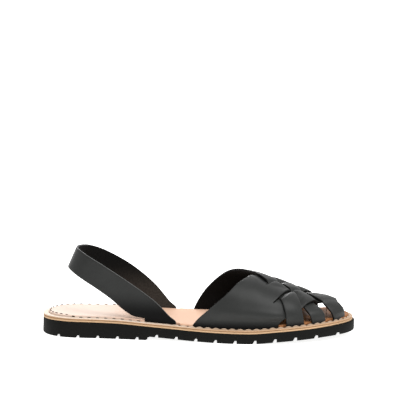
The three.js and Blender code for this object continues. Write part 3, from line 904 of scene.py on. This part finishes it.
class BuildWelt(bpy.types.Operator):
    """Tan rim round the foot, swelling between the holes of its seam"""
    bl_idname = "sandal.welt"
    bl_label = "Welt"

    EDGE = 0.6 * MM
    UNDER_EDGE = 0.25 * MM
    INNER_EDGE = 0.3 * MM
    # Places across the upper face, from the outline inwards
    ACROSS = tuple(inset * MM for inset in (1.1, 1.7, 2.3, 2.8, 3.3, 3.7, 4.0, 4.25))
    # Outer part of the face that stays flat
    FLAT = 2.0 * MM
    AROUND = 1500
    # Share of the swelling round the heel, and the shares of the length from and over which it grows
    HEEL_SWELL, SWELL_FROM, SWELL_OVER = 0.12, 0.38, 0.08
    # Faces that look up by more than this belong to the pale upper face
    FACE_UP = 0.45

    def execute(self, context):
        shoe = Shoe(context.scene)
        stitch = shoe.stitch
        wide = shoe.welt_width
        profile = [(wide - self.INNER_EDGE, 0.0), (wide / 2, 0.0)]
        profile += [(self.UNDER_EDGE, 0.0), (0.0, self.UNDER_EDGE)]
        profile += corner((self.EDGE, shoe.welt - self.EDGE), self.EDGE, 0, 90, 5)
        profile += [(inset, shoe.welt) for inset in self.ACROSS]
        profile += [(wide, shoe.welt - self.INNER_EDGE), (wide, 0.2 * MM)]
        marks, ways, _ = shoe.even_outline(0.0, self.AROUND)
        count = round(shoe.seam_length / stitch.pitch)
        rows = []
        for i in range(self.AROUND):
            wave = math.cos(2 * math.pi * i / self.AROUND * count)
            back = shoe.toe_inset(marks[i].x)
            grown = ease((marks[i].x / shoe.long - self.SWELL_FROM) / self.SWELL_OVER)
            sewn = self.HEEL_SWELL + (1 - self.HEEL_SWELL) * grown
            row = []
            for inset, up in profile:
                near = ease((inset - self.FLAT) / (wide - self.FLAT)) if up > shoe.welt / 2 else 0.0
                swell = near * sewn * (stitch.bulge * (0.5 - 0.5 * wave) - stitch.dip * max(wave, 0.0) ** 2)
                point = marks[i] - ways[i] * (back + inset * (1 - back / wide))
                z = shoe.seat(point.x) + up + swell
                row.append(shoe.place(Vector((point.x, point.y, z))))
            rows.append(row + row[:1])
        piece = weld(drape("welt_rim", rows + rows[:1]), closed=True)
        smooth(piece, 40)
        look = context.scene.sandal_colours
        tones = [tan_leather("tan_welt_edge", look.welt, look.welt, 5),
                 tan_leather("pale_welt_face", look.welt_heel, look.welt_face, 1)]
        finish_piece(piece, "welt_leather", tones, "welt")
        for face in piece.data.polygons:
            face.material_index = 1 if face.normal.z > self.FACE_UP else 0
        return {"FINISHED"}


class BuildInsole(bpy.types.Operator):
    """Undyed leather under the foot, cut back where the strap and the vamp go down"""
    bl_idname = "sandal.insole"
    bl_label = "Insole"

    EDGE = 0.6 * MM

    def execute(self, context):
        shoe = Shoe(context.scene)
        profile = [(0.0, 0.0)] + corner((self.EDGE, shoe.insole - self.EDGE), self.EDGE, 0, 90, 4)

        def side_line(side):
            rows = []
            for i, x in enumerate(shoe.stations):
                inset = shoe.insole_inset(x, side)
                start = shoe.inset_point(i, side, 0.0)
                way = shoe.inset_point(i, side, 1.0) - start
                row = []
                for more, up in profile:
                    point = start + way * (inset + more)
                    row.append(Vector((*point, shoe.seat(point.x) + up)))
                rows.append(row)
            return rows

        piece = plate("insole_leather", shoe, side_line, 12)
        smooth(piece, 40)
        finish_piece(piece, "insole_leather", [insole_leather(context.scene.sandal_colours)], "insole")
        return {"FINISHED"}


class BuildVamp(bpy.types.Operator):
    """Two wings, each cut into three fingers, woven over the forefoot"""
    bl_idname = "sandal.vamp"
    bl_label = "Vamp"

    ROWS = 84
    COLUMNS = 14
    # Run past its root over which an edge comes free, and run before its end over which a finger flattens
    FREE_OVER, FLAT_OVER = 0.07, 0.12
    # Shares of the length from and over which the crease comes, and up to and over which it goes
    CREASE_FROM, CREASE_COMES = 0.48, 0.16
    CREASE_TO, CREASE_GOES = 0.80, 0.06
    # Run and breadth of the crease's trough and of the swelling over it, and the trough's share of the depth
    TROUGH, TROUGH_WIDE, TROUGH_DEEP = 0.030, 0.018, 1.2
    SWELLING, SWELLING_WIDE = 0.078, 0.034

    def finger(self, shoe, wing, number):
        rows = []
        for k in range(self.ROWS + 1):
            run = k / self.ROWS
            across = wing * (1 - 2 * run)
            back, front = shoe.finger_edges(wing, run)[number - 1]
            cuts = [0 < root < run for root in self.roots(number)]
            back += shoe.upper.slit / 2 if cuts[0] else 0.0
            front -= shoe.upper.slit / 2 if cuts[1] else 0.0
            free = [ease((run - root) / self.FREE_OVER) for root in self.roots(number)]
            crown = shoe.upper.crown * min(free) * ease((1 - run) / self.FLAT_OVER)
            row = []
            for c in range(self.COLUMNS + 1):
                share = c / self.COLUMNS
                x = back + share * (front - back)
                loose = free[0] + share * (free[1] - free[0])
                rise = shoe.upper.rise * loose * shoe.weave(wing, number, x, across)
                rise += crown * (1 - (2 * share - 1) ** 2) + self.crease(shoe, x, run)
                row.append(shoe.last(x, across) + shoe.last_normal(x, across) * rise)
            rows.append(row)
        rows = shoe.footed(rows)
        if wing > 0:
            rows = [row[::-1] for row in rows]
        return drape("finger", [[shoe.place(point) for point in row] for row in rows])

    def crease(self, shoe, x, run):
        """Soft trough above the foot of a wing and the swelling over it, fading out to the back."""
        share = x / shoe.long
        along = ease((share - self.CREASE_FROM) / self.CREASE_COMES)
        along *= ease((self.CREASE_TO - share) / self.CREASE_GOES)
        trough = math.exp(-((run - self.TROUGH) / self.TROUGH_WIDE) ** 2)
        swelling = math.exp(-((run - self.SWELLING) / self.SWELLING_WIDE) ** 2)
        return shoe.upper.crease * along * (swelling - self.TROUGH_DEEP * trough)

    def roots(self, number):
        """Runs from which a finger's two edges are cut free from its neighbours."""
        before = SLIT_ROOTS[number - 2] if number > 1 else -1.0
        after = SLIT_ROOTS[number - 1] if number < 3 else -1.0
        return before, after

    def execute(self, context):
        shoe = Shoe(context.scene)
        look = context.scene.sandal_colours
        # The grain is painted darker towards its foot, between 12 and 19 mm up: a painted shade along the
        # wings' lower band.
        skins = [grain_leather("full_grain_black_calf", look.foot, look.leather, 12 * MM, 19 * MM),
                 flesh_leather("flesh_side_black_calf", look.flesh, look.flesh, 0.0, 50 * MM),
                 # The cut edges' near-black colour is painted shade for the slits.
                 cut_leather("raw_cut_edge_black_calf", look.cut_edge, 0.75)]
        for wing, name in ((-1, "vamp_outer_wing"), (1, "vamp_inner_wing")):
            piece = weld(join(name, [self.finger(shoe, wing, number) for number in (1, 2, 3)]))
            finish_piece(piece, "upper_leather", skins, "vamp")
            thicken(piece, shoe.upper.wall, shoe.upper.edge_round)
        return {"FINISHED"}


class BuildHeelStrap(bpy.types.Operator):
    """Slingback strap round the heel, in one band of leather"""
    bl_idname = "sandal.heel_strap"
    bl_label = "Heel strap"

    ROWS = 180
    COLUMNS = 12

    def execute(self, context):
        shoe = Shoe(context.scene)
        look = context.scene.sandal_colours
        rows = []
        for k in range(self.ROWS + 1):
            turn = k / self.ROWS
            rows.append([shoe.strap(turn, c / self.COLUMNS) for c in range(self.COLUMNS + 1)])
        piece = drape("heel_strap_band", [[shoe.place(point) for point in row] for row in shoe.footed(rows)])
        # Painted shade: the strap's grain is painted a fifth darker than the vamp's for the shade on its
        # upright faces, and darker still towards its foot, between 20 and 40 mm up.
        shaded_strap_leather = tinted(look.leather, 0.8)
        skins = [grain_leather("full_grain_black_strap_calf", look.foot, shaded_strap_leather, 20 * MM, 40 * MM),
                 flesh_leather("rubbed_flesh_side_black_calf", look.rubbed, look.flesh, 24 * MM, 52 * MM),
                 # The burnished edge's lighter grey is partly a painted highlight.
                 cut_leather("burnished_edge_black_calf", look.burnished, 0.45)]
        finish_piece(piece, "upper_leather", skins, "heel_strap")
        thicken(piece, shoe.upper.strap_wall, shoe.upper.edge_round)
        return {"FINISHED"}


class BuildSeam(bpy.types.Operator):
    """Waxed thread that holds the rim, one stitch from hole to hole"""
    bl_idname = "sandal.seam"
    bl_label = "Rim seam"

    # Length of a stitch as a share of the pitch, and how far its ends bend down as a share of the thread
    STITCH_LONG, STITCH_BEND = 0.86, 0.8
    # Length, width and depth of a hole's mouth, and what they grow by where the thread is sunk
    MOUTH = Vector((1.7, 1.1, 0.5)) * MM
    KNOT = (1.7, 1, 2.2, 1)
    # Inset of the seam from the rim's inner edge, and how much further in it runs on the insole
    BESIDE, FURTHER = -0.1 * MM, 1.3 * MM
    # Shares of the length from and over which the seam comes off the insole, inner and outer side
    OFF_INNER, OFF_OUTER = (0.27, 0.05), (0.05, 0.08)
    # Shares of the thread that a stitch lies up on the rim, and down where it is sunk
    LIES_UP, SUNK = 0.1, 0.6
    # Shares of the length from and over which the thread comes up
    UP_FROM, UP_OVER = 0.40, 0.06

    def stitch(self, shoe):
        """One stitch along X, its ends bent down into the holes."""
        deselect()
        bpy.ops.mesh.primitive_uv_sphere_add(segments=10, ring_count=12, radius=0.5)
        piece = named("stitch")
        long = shoe.stitch.pitch * self.STITCH_LONG
        thick = shoe.stitch.thread
        for vertex in piece.data.vertices:
            x, y, z = vertex.co
            share = 2 * z
            full = (1 - abs(share) ** 4) ** 0.5
            ring = max(math.hypot(x, y), 1e-9)
            round_share = min(ring / max((0.25 - z * z), 1e-12) ** 0.5, 1.0)
            radius = round_share * full * thick / 2
            bend = share ** 2 * thick * self.STITCH_BEND
            vertex.co = Vector((share * long / 2, x / ring * radius, y / ring * radius - bend))
        return piece

    def hole(self):
        """The mouth of a stitch hole, a shallow dimple longer than wide, painted dark as the shade inside the
        hole.
        """
        deselect()
        bpy.ops.mesh.primitive_uv_sphere_add(segments=8, ring_count=6, radius=0.5)
        piece = named("hole")
        for vertex in piece.data.vertices:
            vertex.co = vertex.co * self.MOUTH
        return piece

    def spot(self, shoe, at, way):
        """Where the seam runs: on the rim, but on the insole itself round the heel and its inner side."""
        share = at.x / shoe.long
        begin, over = self.OFF_INNER if way.y > 0 else self.OFF_OUTER
        onto = 1 - ease((share - begin) / over)
        point = at - way * (shoe.welt_width + self.FURTHER * onto + self.BESIDE)
        level = shoe.welt_top(point.x)
        return Vector((*point, level + onto * (shoe.insole_top(point.x) - level)))

    def execute(self, context):
        shoe = Shoe(context.scene)
        look = context.scene.sandal_colours
        tones = [waxed_thread(look), stitch_hole(look)]
        count = round(shoe.seam_length / shoe.stitch.pitch)
        model, mouth = self.stitch(shoe), self.hole()
        for part in (model, mouth):
            for tone in tones:
                part.data.materials.append(tone)
        for face in mouth.data.polygons:
            face.material_index = 1
        points, ways, _ = shoe.even_outline(0.0, 2 * count)
        places = [self.spot(shoe, point, way) for point, way in zip(points, ways, strict=True)]
        pieces = []
        for n in range(count):
            before, middle, after = places[2 * n], places[2 * n + 1], places[(2 * n + 2) % (2 * count)]
            along = (after - before).normalized()
            side = Vector((0, 0, 1)).cross(along).normalized()
            turn = Matrix((along, side, along.cross(side))).transposed().to_4x4()
            sunk = 1 - ease((middle.x / shoe.long - self.UP_FROM) / self.UP_OVER)
            raised = Vector((0, 0, shoe.stitch.thread * (self.LIES_UP - self.SUNK * sunk)))
            for part, at in ((model, middle + raised), (mouth, before)):
                copy = part.copy()
                copy.data = part.data.copy()
                context.collection.objects.link(copy)
                knot = Matrix.Diagonal(self.KNOT) if part == mouth and sunk > 0.5 else Matrix()
                copy.data.transform(Matrix.Translation(shoe.place(at)) @ turn @ knot)
                pieces.append(copy)
        for part in (model, mouth):
            bpy.data.objects.remove(part)
        piece = join("rim_seam_thread", pieces)
        smooth(piece, 60)
        marks = [face.material_index for face in piece.data.polygons]
        finish_piece(piece, "welt_leather", tones)
        for face, mark in zip(piece.data.polygons, marks, strict=True):
            face.material_index = mark
        return {"FINISHED"}


class BuildStage(bpy.types.Operator):
    """Pale floor, soft light and the camera at the photograph's angle"""
    bl_idname = "sandal.stage"
    bl_label = "Stage"

    ELEVATION = math.radians(11)
    ROLL = math.radians(0.75)
    VIEW_WIDTH = 321.1 * MM
    LENS = 1200
    SENSOR = 36
    TARGET = Vector((-0.0003, 0.0, 0.1087))
    FLOOR_SIZE = 30
    # Where the lamps point, and how bright the white room is
    LIT = Vector((0, 0, 0.03))
    ROOM = 0.6

    def floor(self, look):
        deselect()
        bpy.ops.mesh.primitive_plane_add(size=self.FLOOR_SIZE)
        floor = named("studio_floor")
        floor.data.materials.append(light_table(look))

    def camera(self, scene):
        deselect()
        bpy.ops.object.camera_add()
        camera = bpy.context.active_object
        camera.data.sensor_width = self.SENSOR
        camera.data.lens = self.LENS
        back = Vector((0, -math.cos(self.ELEVATION), math.sin(self.ELEVATION)))
        level, upright = Vector((1, 0, 0)), Vector((0, math.sin(self.ELEVATION), math.cos(self.ELEVATION)))
        right = level * math.cos(self.ROLL) + upright * math.sin(self.ROLL)
        up = upright * math.cos(self.ROLL) - level * math.sin(self.ROLL)
        distance = self.VIEW_WIDTH * self.LENS / self.SENSOR
        camera.matrix_world = (Matrix.Translation(self.TARGET + back * distance)
                               @ Matrix((right, up, back)).transposed().to_4x4())
        camera.data.clip_start, camera.data.clip_end = 0.05, 60
        scene.camera = camera

    def soft_box(self, name, place, size, power):
        deselect()
        bpy.ops.object.light_add(type="AREA", location=place)
        lamp = named(name)
        lamp.data.shape = "SQUARE"
        lamp.data.size = size
        lamp.data.energy = power
        lamp.rotation_mode = "QUATERNION"
        lamp.rotation_quaternion = (self.LIT - Vector(place)).to_track_quat("-Z", "Y")

    def execute(self, context):
        scene = context.scene
        self.floor(scene.sandal_colours)
        self.camera(scene)
        self.soft_box("overhead_box", place=(0.5, -0.4, 1.2), size=0.9, power=14)
        self.soft_box("back_box", place=(-0.5, 1.8, 0.7), size=1.0, power=26)
        world = scene.world or bpy.data.worlds.new("studio")
        scene.world = world
        world.use_nodes = True
        world.node_tree.nodes.clear()
        sky = node(world.node_tree, "ShaderNodeBackground", Color=(1, 1, 1, 1), Strength=self.ROOM)
        node(world.node_tree, "ShaderNodeOutputWorld", {"Surface": sky.outputs[0]})
        scene.view_settings.view_transform = "Standard"
        return {"FINISHED"}


class SandalPanel(bpy.types.Panel):
    """The sandal's pieces, sizes and colours in the sidebar"""
    bl_idname = "SANDAL_PT_build"
    bl_label = "Sandal"
    bl_space_type = "VIEW_3D"
    bl_region_type = "UI"
    bl_category = "Sandal"

    def draw(self, context):
        layout = self.layout
        for step in STEPS:
            layout.operator(step.bl_idname)
        for name, group in GROUPS.items():
            box = layout.box()
            box.label(text=group.bl_rna.name)
            for key in group.__annotations__:
                box.prop(getattr(context.scene, name), key)


GROUPS = {
    "sandal_sole": SandalSole,
    "sandal_upper": SandalUpper,
    "sandal_stitch": SandalStitch,
    "sandal_colours": SandalColours,
}
STEPS = (BuildOutsole, BuildMidsole, BuildWelt, BuildInsole, BuildVamp, BuildHeelStrap, BuildSeam, BuildStage)
CLASSES = (*GROUPS.values(), *STEPS, SandalPanel)


def register():
    for cls in CLASSES:
        bpy.utils.register_class(cls)
    for name, group in GROUPS.items():
        setattr(bpy.types.Scene, name, bpy.props.PointerProperty(type=group))


def unregister():
    for name in GROUPS:
        delattr(bpy.types.Scene, name)
    for cls in reversed(CLASSES):
        bpy.utils.unregister_class(cls)


def main():
    register()
    bpy.ops.sandal.outsole()
    bpy.ops.sandal.midsole()
    bpy.ops.sandal.welt()
    bpy.ops.sandal.insole()
    bpy.ops.sandal.vamp()
    bpy.ops.sandal.heel_strap()
    bpy.ops.sandal.seam()
    bpy.ops.sandal.stage()


if __name__ == "__main__":
    main()
